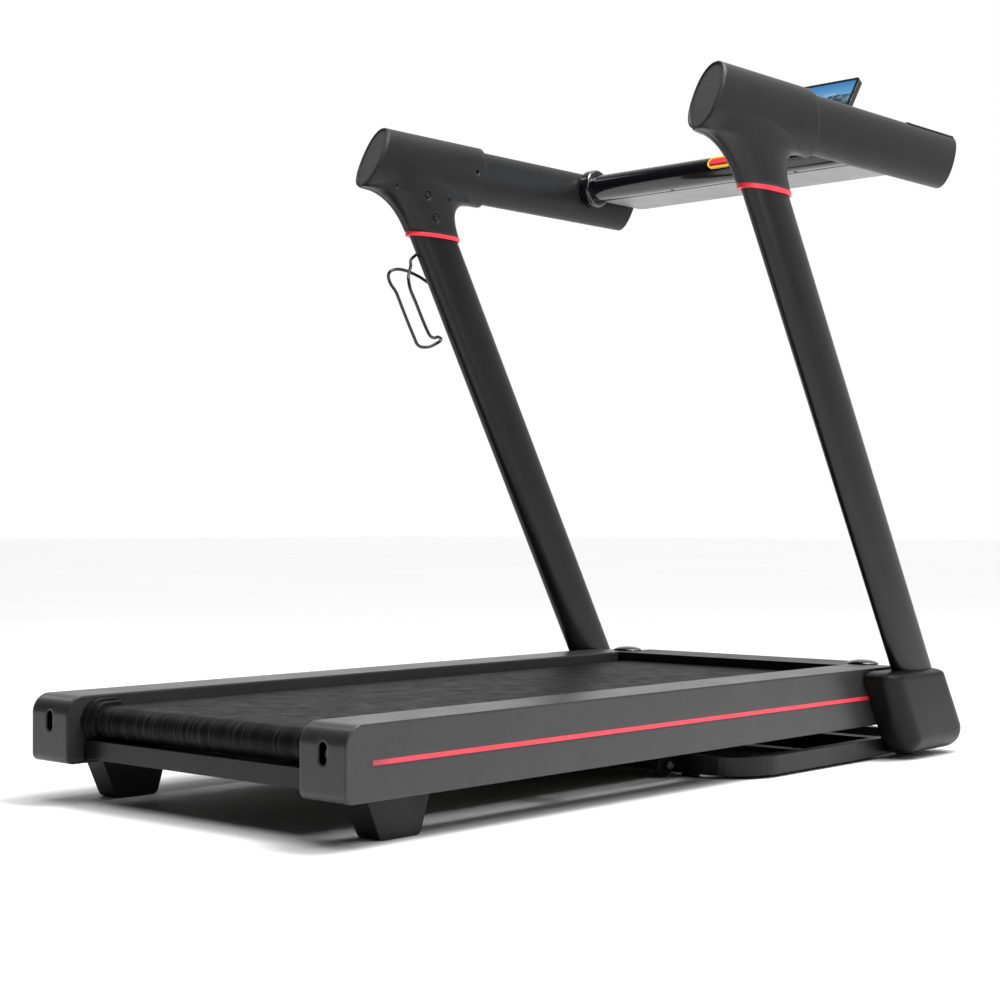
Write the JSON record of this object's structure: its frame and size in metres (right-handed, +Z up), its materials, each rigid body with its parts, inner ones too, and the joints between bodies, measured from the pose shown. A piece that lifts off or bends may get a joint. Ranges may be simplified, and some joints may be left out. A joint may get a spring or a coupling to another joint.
{
  "type": "treadmill",
  "caption": "Folding home treadmill with raked oval uprights, long handles, crossbar console and tilting screen; its deck swings up between the uprights.",
  "frame": {"origin": "on the floor, under the middle of the bounding box", "axes": "+X to the user's right, +Y forwards from the rear end of the deck to the console, +Z up"},
  "size_m": [0.8596, 1.678, 1.3627],
  "materials": {
    "frame_paint": "satin black powder coat",
    "rail_grey": "satin charcoal",
    "boot_black": "matt black",
    "head_grey": "satin charcoal",
    "handle_grip": "soft-touch black",
    "trim_red": "semi-gloss red",
    "gloss_black": "polished black",
    "belt_rubber": "fine textured black",
    "foot_rubber": "matt black",
    "board_wood": "waxed board",
    "steel": "turned",
    "zinc": "cast",
    "underplate_grey": "satin light grey",
    "screen_glass": "polished",
    "key_yellow": "semi-gloss yellow",
    "button_silver": "satin silver",
    "hidden_black": "matt black"
  },
  "bodies": {
    "base": {"base_frame": "frame_paint", "base_feet": "foot_rubber", "wheel_axles": "steel", "boot_left": "boot_black", "boot_right": "boot_black", "upright_left": "frame_paint", "upright_right": "frame_paint", "pivot_brackets": "frame_paint", "pivot_bolts": "steel", "neck_rings": "trim_red", "head_outer_left": "head_grey", "head_inner_left": "head_grey", "head_outer_right": "head_grey", "head_inner_right": "head_grey", "tube_end_caps": "gloss_black", "button_screws": "steel", "handle_left": "handle_grip", "handle_right": "handle_grip", "handle_pads": "hidden_black", "crossbar": "gloss_black", "crossbar_collars": "gloss_black", "console_tray": "hidden_black", "tray_underplate": "underplate_grey", "display_bracket": "frame_paint", "key_socket": "key_yellow", "bottle_cage": "frame_paint"},
    "deck": {"deck_frame": "frame_paint", "side_rail_left": "rail_grey", "side_rail_right": "rail_grey", "rail_stripes": "trim_red", "rail_nose_caps": "rail_grey", "motor_hood": "rail_grey", "hood_corner_caps": "gloss_black", "belly_pan": "hidden_black", "deck_board": "board_wood", "deck_cushions": "foot_rubber", "running_belt": "belt_rubber", "roller_axles": "steel", "roller_guards": "hidden_black", "rear_feet": "foot_rubber", "tension_bolts": "steel", "motor": "zinc", "motor_controller": "zinc", "drive_belt": "foot_rubber", "power_inlet": "hidden_black"},
    "front_roller": {"front_roller": "steel"},
    "rear_roller": {"rear_roller": "steel"},
    "motor_rotor": {"motor_pulley": "steel"},
    "wheel_left": {"wheel_left": "foot_rubber"},
    "wheel_right": {"wheel_right": "foot_rubber"},
    "strut_rod": {"strut_rod": "steel"},
    "strut_cylinder": {"strut_cylinder": "hidden_black"},
    "display": {"display_housing": "gloss_black", "display_glass": "screen_glass"},
    "safety_key": {"safety_key": "trim_red"},
    "button_speed_up": {"button_speed_up": "button_silver"},
    "button_speed_down": {"button_speed_down": "button_silver"},
    "button_start": {"button_start": "button_silver"},
    "button_stop": {"button_stop": "trim_red"},
    "power_switch": {"power_switch": "trim_red"}
  },
  "joints": [
    {"name": "deck_fold", "type": "hinge", "parent": "base", "child": "deck", "pos_m": [0, 0.58096, 0.1163], "axis": [-1, 0, 0], "range_deg": [0, 60]},
    {"name": "front_roller_spin", "type": "hinge", "parent": "deck", "child": "front_roller", "pos_m": [0, 0.55296, 0.1275], "axis": [1, 0, 0], "continuous": true},
    {"name": "rear_roller_spin", "type": "hinge", "parent": "deck", "child": "rear_roller", "pos_m": [0, -0.77704, 0.1275], "axis": [1, 0, 0], "continuous": true},
    {"name": "motor_spin", "type": "hinge", "parent": "deck", "child": "motor_rotor", "pos_m": [0, 0.61696, 0.1121], "axis": [1, 0, 0], "continuous": true},
    {"name": "wheel_left_spin", "type": "hinge", "parent": "base", "child": "wheel_left", "pos_m": [-0.216, 0.04596, 0.022], "axis": [1, 0, 0], "continuous": true},
    {"name": "wheel_right_spin", "type": "hinge", "parent": "base", "child": "wheel_right", "pos_m": [0.216, 0.04596, 0.022], "axis": [1, 0, 0], "continuous": true},
    {"name": "strut_swing", "type": "hinge", "parent": "base", "child": "strut_rod", "pos_m": [0.06, 0.52696, 0.046], "axis": [-1, 0, 0], "range_deg": [0, 62]},
    {"name": "strut_extend", "type": "slide", "parent": "strut_rod", "child": "strut_cylinder", "axis": [0, -0.9837, 0.1798], "range_m": [0, 0.092]},
    {"name": "display_tilt", "type": "hinge", "parent": "base", "child": "display", "pos_m": [0, 0.69294, 1.15], "axis": [1, 0, 0], "range_deg": [-15, 20]},
    {"name": "key_pull", "type": "slide", "parent": "base", "child": "safety_key", "axis": [0, -0.9205, 0.3907], "range_m": [0, 0.015]},
    {"name": "press_speed_up", "type": "slide", "parent": "base", "child": "button_speed_up", "axis": [0, 0, -1], "range_m": [0, 0.0012], "stiffness_N_per_m": 600},
    {"name": "press_speed_down", "type": "slide", "parent": "base", "child": "button_speed_down", "axis": [0, 0, -1], "range_m": [0, 0.0012], "stiffness_N_per_m": 600},
    {"name": "press_start", "type": "slide", "parent": "base", "child": "button_start", "axis": [0, 0, -1], "range_m": [0, 0.0012], "stiffness_N_per_m": 600},
    {"name": "press_stop", "type": "slide", "parent": "base", "child": "button_stop", "axis": [0, 0, -1], "range_m": [0, 0.0012], "stiffness_N_per_m": 600},
    {"name": "power_rocker", "type": "hinge", "parent": "deck", "child": "power_switch", "pos_m": [0, 0.65856, 0.1016], "axis": [1, 0, 0], "range_deg": [0, 18]}
  ],
  "couplings": [
    {"joint": "rear_roller_spin", "follows": "front_roller_spin", "ratio": 1},
    {"joint": "motor_spin", "follows": "front_roller_spin", "ratio": 2.1667},
    {"joint": "strut_swing", "follows": "deck_fold", "ratio": 1.0096},
    {"joint": "strut_extend", "follows": "deck_fold", "m_per_rad": 0.0851}
  ]
}
